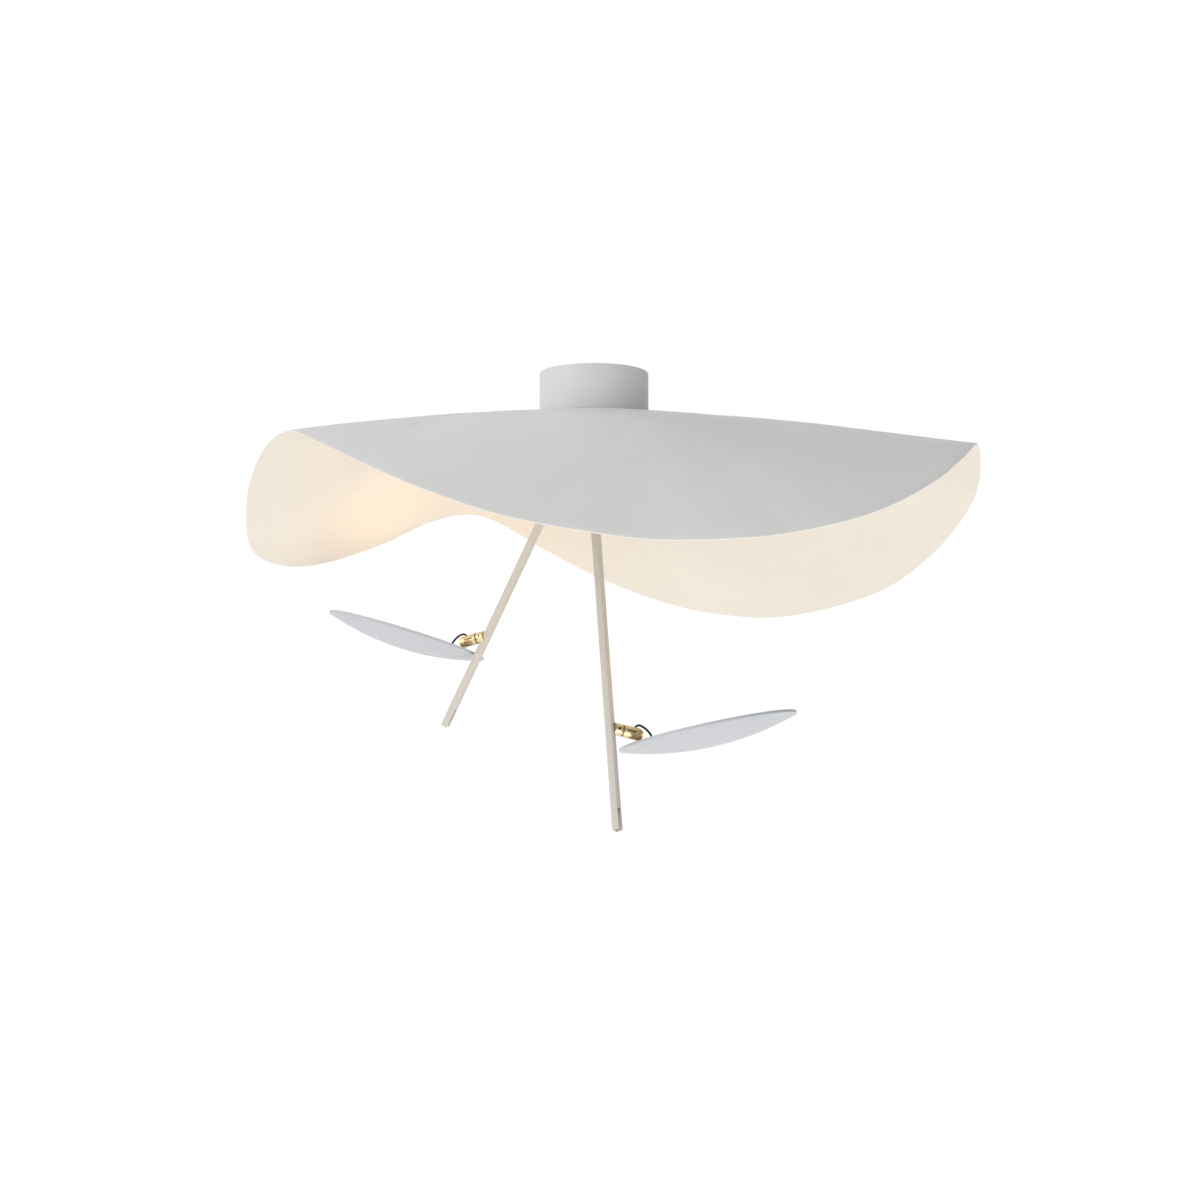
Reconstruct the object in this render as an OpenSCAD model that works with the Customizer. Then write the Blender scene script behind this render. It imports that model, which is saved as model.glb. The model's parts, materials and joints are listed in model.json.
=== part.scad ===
// Sculptural ceiling light: a canopy cup on the ceiling, a wavy moulded reflector under it, and two
// slanting square rods that each carry a dished LED disc on a slit brass knuckle. The discs shine up
// into the reflector. Millimetres, +Z up; z = 0 is the ceiling, the canopy stands on the z axis,
// +X is the reflector's long direction and -Y is the side that faces the room.

/* [Canopy] */
// Outer diameter of the canopy cup
canopy_diameter = 145; // [110:1:150]
// Height of the canopy cup below the ceiling
canopy_height = 60; // [54:1:80]
// Sheet thickness of the canopy cup
canopy_wall = 1.2; // [0.8:0.1:2]
// Radius of the canopy's pressed bottom corner and of its rolled top edge
canopy_corner = 3; // [1:0.5:5]

/* [Ceiling plate] */
// Diameter of the plate that is screwed to the ceiling
plate_diameter = 132; // [100:1:138]
// Thickness of the ceiling plate
plate_thickness = 2.5; // [1.5:0.5:4]
// Distance between the two ceiling screws
fixing_spacing = 96; // [60:1:100]
// Diameter of the ceiling screw holes
fixing_hole = 5.2; // [4:0.1:6]
// Diameter of the bore in the supply cable's grommet
cable_bore = 7; // [5:0.5:9]

/* [Reflector] */
// Length of the reflector along X, rim to rim
reflector_length = 1010; // [700:5:1400]
// Width of the reflector along Y, rim to rim
reflector_width = 562; // [400:5:800]
// Greatest drop of the rim below the seat
reflector_depth = 240; // [120:5:340]
// Thickness of the moulded sheet
sheet_thickness = 2; // [1.5:0.1:4]
// Width of the flat seat beyond the canopy's edge
seat_margin = 2.5; // [1:0.5:15]
// Share of each flank over which the crest is rounded before the flank runs straight
crest_share = 0.32; // [0.1:0.01:0.6]

/* [Rod holder] */
// Diameter of the block that holds both rods
holder_diameter = 64; // [60:1:80]
// Height of the rod holder
holder_height = 32; // [28:1:50]
// Offset of the point where both rod axes meet, to the left of the canopy's axis
meeting_offset = 8; // [0:1:12]

/* [Rods] */
// Width across the flats of the square rods
rod_width = 9; // [8:0.5:10]
// Wall of the square rods
rod_wall = 1.2; // [0.8:0.1:1.6]
// Length of the right rod from the meeting point
right_rod_length = 604; // [450:1:700]
// Length of the left rod from the meeting point
left_rod_length = 471; // [380:1:600]
// Length of the open slot at the foot of each rod
rod_slot = 28; // [15:1:40]
// Distance of the right disc's joint above the foot of its rod
right_joint_height = 138; // [110:0.5:180]
// Distance of the left disc's joint above the foot of its rod
left_joint_height = 144; // [110:0.5:180]

/* [Knuckles] */
// Diameter of the brass collar and barrel
barrel_diameter = 15.2; // [14:0.2:18]
// Length of the collar beside the rod
collar_length = 10.6; // [9:0.2:14]
// Distance from the rod's axis to the tilt pin
pivot_reach = 37.5; // [36:0.5:42]
// Diameter of the cross pin that the slit barrel grips
pin_diameter = 8.7; // [7:0.1:9.4]
// Width of the saw slit in the barrel
slit_width = 1.6; // [1:0.1:2]
// Thickness of the tongue on the disc's foot
tongue_thickness = 3.6; // [3:0.1:4]

/* [Discs] */
// Outer diameter of the LED discs
disc_diameter = 225; // [210:1:240]
// Depth of the dished shell
disc_depth = 20.5; // [18.5:0.5:30]
// Diameter of the opening over the lens
lens_opening = 144; // [100:1:150]
// Distance from the tilt pin to the disc's middle, along the disc
disc_reach = 98.5; // [94:0.5:101]
// Height of the tilt pin above the disc's rim
pin_height = 9.6; // [9.2:0.2:13]

/* [Arm directions, degrees] */
// Lean of the right rod from the vertical
right_rod_lean = 27.6; // [15:0.1:34]
// Plan bearing of the right rod's foot
right_rod_bearing = -82.5; // [-95:0.1:-65]
// Plan bearing of the right knuckle
right_stem_bearing = 25; // [10:0.5:35]
// Droop of the right knuckle from the horizontal
right_stem_droop = 11; // [5:0.5:18]
// Lean of the right disc
right_disc_lean = 12.6; // [5:0.1:20]
// Plan bearing of the direction that the right disc leans to
right_disc_bearing = 163.5; // [150:0.5:190]
// Lean of the left rod from the vertical
left_rod_lean = 32.2; // [20:0.1:36]
// Plan bearing of the left rod's foot
left_rod_bearing = 142.3; // [135:0.1:162]
// Plan bearing of the left knuckle
left_stem_bearing = 152; // [140:0.5:165]
// Droop of the left knuckle from the horizontal
left_stem_droop = 11.5; // [5:0.5:18]
// Lean of the left disc
left_disc_lean = 16.9; // [8:0.1:22]
// Plan bearing of the direction that the left disc leans to
left_disc_bearing = 5; // [-15:1:20]

/* [Hidden] */
$fn = 96;

// Fits
fixed_gap = 0.05;
running_gap = 0.06;
side_gap = 0.35;
joint_gap = 0.3;

// Finishes
paint_grey = [0.82, 0.82, 0.81];
paint_white = [0.95, 0.95, 0.94];
brass = [0.85, 0.68, 0.32];
steel = [0.72, 0.73, 0.75];
silver = [0.80, 0.81, 0.83];
black = [0.05, 0.05, 0.05];
opal = [0.98, 0.97, 0.92];

// Heights of the stack under the canopy
seat_z = -canopy_height;
clamp_thickness = 3;
clamp_z = seat_z - sheet_thickness - clamp_thickness;
holder_z = clamp_z - holder_height;
tube_radius = 5;
tube_bore = 3.5;
tube_depth = 9;

// Small helpers

function unit(v) = v / norm(v);

// Direction at a plan bearing, raised above the horizontal
function heading(bearing, rise) = [cos(bearing) * cos(rise), sin(bearing) * cos(rise), sin(rise)];

// Placement matrix from an origin and three axes
function placement(o, x, y, z) = [
    [x[0], y[0], z[0], o[0]],
    [x[1], y[1], z[1], o[1]],
    [x[2], y[2], z[2], o[2]],
    [0, 0, 0, 1]
];

// Points of an arc about a centre
function arc(centre, r, from, to, steps) = [
    for (i = [0:steps])
        let (a = from + (to - from) * i / steps)
        centre + r * [cos(a), sin(a)]
];

module ring(outer, inner, bottom, height) {
    translate([0, 0, bottom])
        difference() {
            cylinder(r = outer, h = height);
            translate([0, 0, -1])
                cylinder(r = inner, h = height + 2);
        }
}

// Cylinder along X, given by its two ends
module x_rod(r, from, to) {
    translate([from, 0, 0])
        rotate([0, 90, 0])
            cylinder(r = r, h = to - from);
}

// Cylinder along Y, centred
module y_rod(r, length) {
    rotate([90, 0, 0])
        cylinder(r = r, h = length, center = true);
}

// Socket set screw standing on z = 0 with its hexagon at the top
module set_screw(r, length) {
    difference() {
        cylinder(r = r, h = length, $fn = 32);
        translate([0, 0, length - 1.6])
            cylinder(r = 0.55 * r, h = 2, $fn = 6);
    }
}

// Pan head screw: shank below z = 0, head above it, with a cross recess
module pan_screw(r, length, head_r, head_h) {
    difference() {
        union() {
            translate([0, 0, -length])
                cylinder(r = r, h = length + 0.1, $fn = 32);
            cylinder(r1 = head_r, r2 = 0.75 * head_r, h = head_h, $fn = 32);
        }
        for (turn = [0, 90])
            rotate(turn)
                translate([-0.6 * head_r, -0.2 * head_r, 0.45 * head_h])
                    cube([1.2 * head_r, 0.4 * head_r, head_h]);
    }
}

// Round tube along a route, with the ring's first direction given
module tube(route, r, side_axis, sides = 8) {
    last = len(route) - 1;
    rings = [
        for (i = [0:last])
            let (
                along = unit(route[min(i + 1, last)] - route[max(i - 1, 0)]),
                across = unit(cross(along, side_axis)),
                level = cross(across, along)
            )
            for (k = [0:sides - 1])
                route[i] + r * (cos(360 * k / sides) * level + sin(360 * k / sides) * across)
    ];
    walls = [
        for (i = [0:last - 1])
            for (k = [0:sides - 1])
                let (
                    a = i * sides + k,
                    b = i * sides + (k + 1) % sides
                )
                each [[a, b, b + sides], [a, b + sides, a + sides]]
    ];
    start_cap = [[for (k = [sides - 1:-1:0]) k]];
    end_cap = [[for (k = [0:sides - 1]) last * sides + k]];
    polyhedron(points = rings, faces = concat(walls, start_cap, end_cap));
}

// Ceiling plate and what hangs inside the canopy

cable_place = [-32, -36];
driver_size = [74, 32, 22];
driver_y = 37;
driver_ear = 7;
ear_thickness = 2.4;
driver_screw_x = driver_size[0] / 2 + driver_ear / 2;
driver_screw_radius = 1.5;
terminal_size = [34, 18, 15];
terminal_y = -34;
grommet_radius = cable_bore / 2 + 2;

module ceiling_plate() {
    color(steel)
        difference() {
            translate([0, 0, -plate_thickness])
                cylinder(d = plate_diameter, h = plate_thickness);
            translate([0, 0, -plate_thickness - 1])
                cylinder(r = tube_radius + fixed_gap, h = plate_thickness + 2);
            for (side = [-1, 1])
                translate([side * fixing_spacing / 2, 0, -plate_thickness - 1])
                    cylinder(d = fixing_hole, h = plate_thickness + 2);
            for (side = [-1, 1])
                translate([side * driver_screw_x, driver_y, -plate_thickness - 1])
                    cylinder(r = driver_screw_radius + fixed_gap, h = plate_thickness + 2);
            translate([cable_place[0], cable_place[1], -plate_thickness - 1])
                cylinder(r = grommet_radius + fixed_gap, h = plate_thickness + 2);
        }
}

module plate_grommet() {
    flange = 1.5;
    color(black)
        translate(cable_place)
            difference() {
                union() {
                    translate([0, 0, -plate_thickness])
                        cylinder(r = grommet_radius, h = plate_thickness);
                    translate([0, 0, -plate_thickness - flange])
                        cylinder(r = grommet_radius + flange, h = flange);
                }
                translate([0, 0, -plate_thickness - flange - 1])
                    cylinder(d = cable_bore, h = plate_thickness + flange + 2);
            }
}

// Three pole terminal block with its wire holes and screw wells
module terminal_block() {
    poles = 3;
    pitch = terminal_size[0] / poles;
    color(paint_white)
        translate([6, terminal_y, -plate_thickness - terminal_size[2]])
            difference() {
                translate([-terminal_size[0] / 2, -terminal_size[1] / 2, 0])
                    cube(terminal_size);
                for (i = [0:poles - 1]) {
                    x = (i - 1) * pitch;
                    translate([x, 0, 0.45 * terminal_size[2]])
                        y_rod(2, terminal_size[1] + 2);
                    for (side = [-1, 1])
                        translate([x, side * terminal_size[1] / 4, -1])
                            cylinder(r = 2.2, h = 0.45 * terminal_size[2] + 1);
                }
                for (i = [0:poles - 2])
                    translate([(i - 0.5) * pitch - 0.7, -terminal_size[1] / 2 - 1, -1])
                        cube([1.4, terminal_size[1] + 2, 5]);
            }
}

module led_driver() {
    color(paint_white)
        translate([0, driver_y, -plate_thickness])
            difference() {
                union() {
                    translate([-driver_size[0] / 2, -driver_size[1] / 2, -driver_size[2]])
                        cube(driver_size);
                    translate([-driver_size[0] / 2 - driver_ear, -6, -ear_thickness])
                        cube([driver_size[0] + 2 * driver_ear, 12, ear_thickness]);
                }
                for (side = [-1, 1])
                    translate([side * driver_screw_x, 0, -ear_thickness - 1])
                        cylinder(r = driver_screw_radius + fixed_gap, h = ear_thickness + 2);
                for (side = [-1, 1], lead = [-1, 1])
                    translate([side * (driver_size[0] / 2 - 3), lead * 4, -driver_size[2] / 2])
                        x_rod(1.4, -4, 4);
            }
}

module driver_screws() {
    color(steel)
        for (side = [-1, 1])
            translate([side * driver_screw_x, driver_y, -plate_thickness - ear_thickness])
                rotate([180, 0, 0])
                    pan_screw(driver_screw_radius, ear_thickness + 2, 2.8, 1.8);
}

// Hollow threaded tube that carries the canopy, the reflector and the rod holder
module centre_tube() {
    color(steel)
        ring(tube_radius, tube_bore, clamp_z - tube_depth, tube_depth - clamp_z - 0.3);
}

nut_height = 5;
nut_radius = 9.2;

module hex_nut(top) {
    translate([0, 0, top - nut_height])
        difference() {
            cylinder(r = nut_radius, h = nut_height, $fn = 6);
            translate([0, 0, -1])
                cylinder(r = tube_radius + fixed_gap, h = nut_height + 2);
        }
}

// Lock nuts under the ceiling plate and on the canopy's floor
module tube_nuts() {
    color(steel) {
        hex_nut(-plate_thickness);
        hex_nut(seat_z + canopy_wall + nut_height);
    }
}

module canopy_cup() {
    r = canopy_diameter / 2;
    lip = 1.2;
    color(paint_grey)
        rotate_extrude()
            polygon(concat(
                [[tube_radius + fixed_gap, seat_z]],
                arc([r - canopy_corner, seat_z + canopy_corner], canopy_corner, -90, 0, 6),
                arc([r - lip, -lip], lip, 0, 90, 4),
                [[r - lip - 1.4, 0], [r - lip - 1.4, -canopy_wall], [r - canopy_wall, -lip - 1]],
                arc(
                    [r - canopy_corner, seat_z + canopy_corner],
                    canopy_corner - canopy_wall, 0, -90, 6
                ),
                [[tube_radius + fixed_gap, seat_z + canopy_wall]]
            ));
}

// Reflector

// Stations round the sheet, seen in plan from the canopy's axis: bearing in degrees, reach of the
// rim, drop of the rim below the seat, reach of the level crest beyond the seat, and share of the
// flank over which the crest is rounded. The two deep lobes lie on the far side, left and right,
// with an arch between them; the crest runs out almost level at bearings 0 and 180.
stations = [
    [0, 512, 36, 60, 0.5], [10, 531, 90, 50, 0.45], [20, 516, 152, 32, 0], [30, 477, 206, 18, 0],
    [45, 394, 240, 8, 0], [60, 335, 234, 3, 0], [75, 302, 211, 0, 0], [90, 293, 179, 0, 0],
    [105, 303, 138, 0, 0], [120, 332, 92, 4, 0], [130, 366, 100, 8, 0], [140, 418, 140, 16, 0],
    [150, 485, 171, 28, 0], [158, 520, 157, 44, 0], [165, 500, 93, 72, 0.5],
    [172, 458, 37, 96, 0.8], [180, 411, 17, 108, 1], [190, 369, 40, 92, 0.7],
    [205, 326, 80, 48, 0], [225, 290, 126, 12, 0], [245, 266, 161, 2, 0], [270, 261, 185, 0, 0],
    [290, 285, 195, 0, 0], [310, 347, 188, 4, 0], [325, 409, 159, 12, 0], [340, 456, 107, 32, 0],
    [350, 484, 66, 50, 0.45]
];
bearing_steps = 132;
bearing_bunching = 12;
flank_rows = [0.08, 0.16, 0.24, 0.32, 0.44, 0.56, 0.68, 0.79, 0.9, 1];
seat_radius = canopy_diameter / 2 + seat_margin;
seat_hole = tube_radius + 0.5;

// Station by number, counted on round the rim
function station(i) =
    let (
        count = len(stations),
        turns = floor(i / count)
    )
    stations[i - turns * count] + [360 * turns, 0, 0, 0, 0];

// Change per degree at a station
function station_slope(i) =
    let (step = station(i + 1) - station(i - 1))
    step / step[0];

// Smooth curve through the stations
function outline_at(bearing, i = 0) =
    station(i + 1)[0] <= bearing ? outline_at(bearing, i + 1) :
    let (
        a = station(i),
        b = station(i + 1),
        span = b[0] - a[0],
        t = (bearing - a[0]) / span
    )
    (1 + 2 * t) * (1 - t) * (1 - t) * a
    + t * (1 - t) * (1 - t) * span * station_slope(i)
    + t * t * (3 - 2 * t) * b
    + t * t * (t - 1) * span * station_slope(i + 1);

// Bearings of the mesh, bunched at the two ends of the sheet where the rim turns fastest
bearings = [
    for (i = [0:bearing_steps - 1])
        let (b = 360 * i / bearing_steps)
        b - bearing_bunching * sin(2 * b)
];
rim_plan = [for (b = bearings) outline_at(b)[1] * [cos(b), sin(b)]];
rim_x = [for (p = rim_plan) p[0]];
rim_y = [for (p = rim_plan) p[1]];
stretch_x = reflector_length / (max(rim_x) - min(rim_x));
stretch_y = reflector_width / (max(rim_y) - min(rim_y));
stretch_z = reflector_depth / max([for (s = stations) s[2]]);

// Share of the drop reached at a share of the way out: round over the first share w, then straight
function flank(t, w) = (t < w ? t * t / (2 * w) : t - w / 2) / (1 - w / 2);

// Point of the sheet's upper face
function sheet_point(bearing, t) =
    let (
        at = outline_at(bearing),
        crest = (seat_radius + at[3]) * [cos(bearing), sin(bearing)],
        rim = at[1] * [stretch_x * cos(bearing), stretch_y * sin(bearing)],
        plan = crest + t * (rim - crest)
    )
    [plan[0], plan[1], seat_z - stretch_z * at[2] * flank(t, max(crest_share, at[4]))];

// Unit normal of the sheet, pointing up and out
function sheet_normal(bearing, t) =
    let (
        along = sheet_point(bearing + 360.5, t) - sheet_point(bearing + 359.5, t),
        out = sheet_point(bearing, t + 0.005) - sheet_point(bearing, max(0, t - 0.005))
    )
    unit(cross(out, along));

module reflector() {
    upper = [
        for (b = bearings) [seat_hole * cos(b), seat_hole * sin(b), seat_z],
        for (b = bearings) sheet_point(b, 0),
        for (t = flank_rows, b = bearings) sheet_point(b, t)
    ];
    lower = [
        for (b = bearings) [seat_hole * cos(b), seat_hole * sin(b), seat_z - sheet_thickness],
        for (b = bearings) sheet_point(b, 0) - [0, 0, sheet_thickness],
        for (t = flank_rows, b = bearings) sheet_point(b, t) - sheet_thickness * sheet_normal(b, t)
    ];
    rows = len(flank_rows) + 2;
    under = len(upper);
    skin = [
        for (j = [0:rows - 2], i = [0:bearing_steps - 1])
            let (
                k = (i + 1) % bearing_steps,
                a = j * bearing_steps + i,
                b = j * bearing_steps + k,
                c = a + bearing_steps,
                d = b + bearing_steps
            )
            each [
                [a, d, c], [a, b, d],
                [under + a, under + c, under + d], [under + a, under + d, under + b]
            ]
    ];
    edge_row = (rows - 1) * bearing_steps;
    edges = [
        for (i = [0:bearing_steps - 1])
            let (
                k = (i + 1) % bearing_steps,
                e = edge_row + i,
                f = edge_row + k
            )
            each [
                [e, under + f, under + e], [e, f, under + f],
                [i, under + i, under + k], [i, under + k, k]
            ]
    ];
    color(paint_grey)
        polyhedron(points = concat(upper, lower), faces = concat(skin, edges));
}

module clamp_plate() {
    color(paint_white)
        ring(38, tube_radius + fixed_gap, clamp_z, clamp_thickness);
}

// Arms

meeting_point = [-meeting_offset, 0, seat_z - 5];
rod_start = 18;
screw_along_rod = 27;

// One arm: rod bearing, lean and length, bearing of its slotted face, bearing of its knuckle, the
// disc's lean and the bearing of that lean, turn of the holder's screw, side of the collar's
// screw, height of the joint above the rod's foot, and droop of the knuckle
RIGHT = [
    right_rod_bearing, right_rod_lean, right_rod_length, -35, right_stem_bearing,
    right_disc_lean, right_disc_bearing, 90, -1, right_joint_height, right_stem_droop
];
LEFT = [
    left_rod_bearing, left_rod_lean, left_rod_length, -23, left_stem_bearing,
    left_disc_lean, left_disc_bearing, 180, 1, left_joint_height, left_stem_droop
];

function rod_axis(arm) = heading(arm[0], arm[1] - 90);
function rod_face(arm) =
    let (
        flat = heading(arm[3], 0),
        along = rod_axis(arm)
    )
    unit(flat - (flat * along) * along);
function rod_frame(arm) =
    placement(meeting_point, rod_face(arm), cross(rod_axis(arm), rod_face(arm)), rod_axis(arm));

function joint_point(arm) = meeting_point + (arm[2] - arm[9]) * rod_axis(arm);
function stem(arm) = heading(arm[4], -arm[10]);
function disc_normal(arm) = heading(arm[6], 90 - arm[5]);
function pin_axis(arm) = unit(cross(disc_normal(arm), stem(arm)));
function stem_frame(arm) =
    placement(joint_point(arm), stem(arm), pin_axis(arm), cross(stem(arm), pin_axis(arm)));

function pivot(arm) = joint_point(arm) + pivot_reach * stem(arm);
function disc_out(arm) = cross(pin_axis(arm), disc_normal(arm));
function pivot_frame(arm) = placement(pivot(arm), disc_out(arm), pin_axis(arm), disc_normal(arm));
function disc_middle(arm) =
    pivot(arm) + disc_reach * disc_out(arm) - pin_height * disc_normal(arm);
function disc_frame(arm) =
    placement(disc_middle(arm), disc_out(arm), pin_axis(arm), disc_normal(arm));

// Square section of the rod, grown by a gap, in the rod's frame
module rod_space(from, to, gap) {
    w = rod_width + 2 * gap;
    translate([-w / 2, -w / 2, from])
        cube([w, w, to - from]);
}

module rod_holder() {
    chamber_top = clamp_z - tube_depth;
    color(paint_white)
        difference() {
            union() {
                translate([0, 0, holder_z + 6])
                    cylinder(d = holder_diameter, h = holder_height - 6);
                translate([0, 0, holder_z])
                    cylinder(d1 = holder_diameter - 8, d2 = holder_diameter, h = 6);
            }
            translate([0, 0, chamber_top])
                cylinder(r = tube_radius + fixed_gap, h = tube_depth + 1);
            translate([-meeting_offset, 0, chamber_top - 8])
                cylinder(r = 12, h = 8);
            for (arm = [RIGHT, LEFT])
                multmatrix(rod_frame(arm)) {
                    rod_space(rod_start, 60, fixed_gap);
                    translate([0, 0, screw_along_rod])
                        rotate(arm[7])
                            x_rod(2.55, rod_width / 2, 40);
                }
        }
}

module holder_screws() {
    color(steel)
        for (arm = [RIGHT, LEFT])
            multmatrix(rod_frame(arm))
                translate([0, 0, screw_along_rod])
                    rotate(arm[7])
                        translate([rod_width / 2, 0, 0])
                            rotate([0, 90, 0])
                                set_screw(2.5, 6);
}

module rod(arm) {
    inner = rod_width - 2 * rod_wall;
    color(paint_white)
        difference() {
            multmatrix(rod_frame(arm))
                difference() {
                    rod_space(rod_start, arm[2], 0);
                    translate([-inner / 2, -inner / 2, rod_start - 1])
                        cube([inner, inner, arm[2]]);
                    translate([0, -inner / 2, arm[2] - rod_slot])
                        cube([rod_width, inner, rod_slot + 1]);
                }
            multmatrix(stem_frame(arm)) {
                x_rod(2.4 + fixed_gap, 0, 12);
                x_rod(stud_radius + running_gap, stud_start, collar_end);
            }
        }
}

// Plug that closes the rod above its slot
module rod_plug(arm) {
    w = rod_width - 2 * rod_wall - 2 * fixed_gap;
    color(black)
        multmatrix(rod_frame(arm))
            translate([-w / 2, -w / 2, arm[2] - rod_slot - 6])
                cube([w, w, 6]);
}

// Knuckle

barrel_radius = barrel_diameter / 2;
collar_start = 4.8;
collar_end = collar_start + collar_length;
washer_thickness = 1;
barrel_start = collar_end + washer_thickness + joint_gap;
stud_radius = 3;
stud_start = collar_start + 2.6;
stud_end = barrel_start + 5.6;
lead_bore = 1.5;
groove_x = collar_start + 5;
window_half = tongue_thickness / 2 + side_gap;
eye_radius = pin_diameter / 2 + 1.3;
window_start = pivot_reach - eye_radius - side_gap;
exit_x = window_start - 2.6;
exit_rise = 50;
slit_start = barrel_start + 4;
pinch_y = 4.4;
pinch_x = (stud_end + exit_x) / 2;

// Collar brazed to the rod: its root is cut to the rod's corner and a spigot enters the rod's wall
module collar(arm) {
    color(brass)
        difference() {
            multmatrix(stem_frame(arm))
                union() {
                    x_rod(barrel_radius, collar_start, collar_end - 0.6);
                    x_rod(barrel_radius - 0.6, collar_end - 0.7, collar_end);
                }
            multmatrix(rod_frame(arm))
                rod_space(rod_start, arm[2], fixed_gap);
            multmatrix(stem_frame(arm)) {
                x_rod(lead_bore, 0, collar_end + 1);
                x_rod(stud_radius + running_gap, stud_start, collar_end + 1);
                translate([groove_x, 0, 0])
                    rotate([-90 * arm[8], 0, 0])
                        cylinder(r = 1.5 + fixed_gap, h = barrel_radius + 1, $fn = 32);
            }
        }
}

// Set screw whose tip rides in the stud's groove, so that the barrel turns and can't pull out
module collar_screw(arm) {
    tip = stud_radius - 0.3;
    color(black)
        multmatrix(stem_frame(arm))
            translate([groove_x, 0, 0])
                rotate([-90 * arm[8], 0, 0]) {
                    translate([0, 0, tip])
                        cylinder(r = 0.8, h = 1, $fn = 32);
                    translate([0, 0, stud_radius + 0.6])
                        set_screw(1.5, barrel_radius - stud_radius - 0.9);
                }
}

module washer(arm) {
    color(black)
        multmatrix(stem_frame(arm))
            difference() {
                x_rod(barrel_radius - 0.5, collar_end, collar_end + washer_thickness);
                x_rod(stud_radius + running_gap, collar_end - 1, collar_end + 3);
            }
}

// Hollow turning stud: runs in the collar, pressed into the barrel
module stud(arm) {
    color(steel)
        multmatrix(stem_frame(arm))
            difference() {
                x_rod(stud_radius, stud_start + joint_gap, stud_end);
                x_rod(lead_bore - 0.1, 0, stud_end + 1);
                translate([groove_x, 0, 0])
                    rotate([0, 90, 0])
                        ring(stud_radius + 1, stud_radius - 0.6, -1.1, 2.2);
            }
}

// Direction in which the jumper leaves the barrel, in the stem's frame
module exit_drill(r, from, to) {
    translate([exit_x, 0, 2])
        rotate([0, 90 - exit_rise, 0])
            translate([0, 0, from])
                cylinder(r = r, h = to - from, $fn = 32);
}

// Slit barrel: a cross bore for the pin, a saw slit that runs back from it, a window for the tongue
module barrel(arm) {
    color(brass)
        multmatrix(stem_frame(arm))
            difference() {
                union() {
                    x_rod(barrel_radius - 0.6, barrel_start, barrel_start + 0.7);
                    x_rod(barrel_radius, barrel_start + 0.6, pivot_reach);
                    translate([pivot_reach, 0, 0])
                        sphere(r = barrel_radius);
                }
                x_rod(stud_radius + fixed_gap, barrel_start - 1, stud_end);
                x_rod(lead_bore, stud_end - 1, exit_x);
                exit_drill(lead_bore, -1, 9);
                translate([pivot_reach, 0, 0])
                    y_rod(pin_diameter / 2 + running_gap, 2 * barrel_radius + 2);
                translate([slit_start, -barrel_radius - 1, -slit_width / 2])
                    cube([pivot_reach - slit_start, 2 * barrel_radius + 2, slit_width]);
                translate([window_start, -window_half, -barrel_radius - 1])
                    cube([barrel_diameter + 4, 2 * window_half, 2 * barrel_radius + 2]);
                translate([pinch_x, pinch_y, -barrel_radius - 1])
                    cylinder(r = 1.25 + fixed_gap, h = 2 * barrel_radius + 2, $fn = 32);
                translate([pinch_x, pinch_y, 4.2])
                    cylinder(r = 2.2, h = barrel_radius, $fn = 32);
            }
}

// Cap screw that draws the slit together on the pin
module pinch_screw(arm) {
    color(steel)
        multmatrix(stem_frame(arm))
            translate([pinch_x, pinch_y, -5]) {
                cylinder(r = 1.25, h = 9.3, $fn = 32);
                translate([0, 0, 9.2])
                    difference() {
                        cylinder(r = 2.1, h = 2, $fn = 32);
                        translate([0, 0, 0.8])
                            cylinder(r = 1.1, h = 2, $fn = 6);
                    }
            }
}

exit_out = 9;
bush_length = 3;

// Black bush round the jumper where it leaves the barrel
module exit_bush(arm) {
    color(black)
        multmatrix(stem_frame(arm))
            difference() {
                exit_drill(lead_bore - 0.02, exit_out - bush_length, exit_out);
                exit_drill(0.6, exit_out - bush_length - 1, exit_out - 0.6);
            }
}

module pin(arm) {
    color(brass)
        multmatrix(pivot_frame(arm))
            y_rod(pin_diameter / 2, 2 * barrel_radius - 1.4);
}

// Disc

disc_radius = disc_diameter / 2;
lens_radius = lens_opening / 2;
shell_wall = 1.2;
lip_height = 2.6;
trim_height = 0.7;
cover_thickness = 1.5;
cover_top = -trim_height;
cover_bottom = cover_top - cover_thickness;
sink_top = cover_bottom - 3.4;
sink_plate = 2;
bowl_rise = disc_depth - trim_height - lip_height;
bowl_radius = (disc_radius * disc_radius + bowl_rise * bowl_rise) / (2 * bowl_rise);
bowl_centre = bowl_radius - disc_depth;
bowl_angle = asin(disc_radius / bowl_radius);
foot_length = 14.4;
foot_screw_x = 4.7;
foot_width = 12;
foot_plate = 1.6;
foot_base = pin_height + trim_height;
bush_x = -disc_reach + 19;
cover_screw_radius = disc_radius - 18;

// Outer outline of the dished shell, from the middle up to the lip
bowl_outline = concat(
    arc([0, bowl_centre], bowl_radius, -90, bowl_angle - 90, 14),
    [[disc_radius, cover_top]]
);

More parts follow.
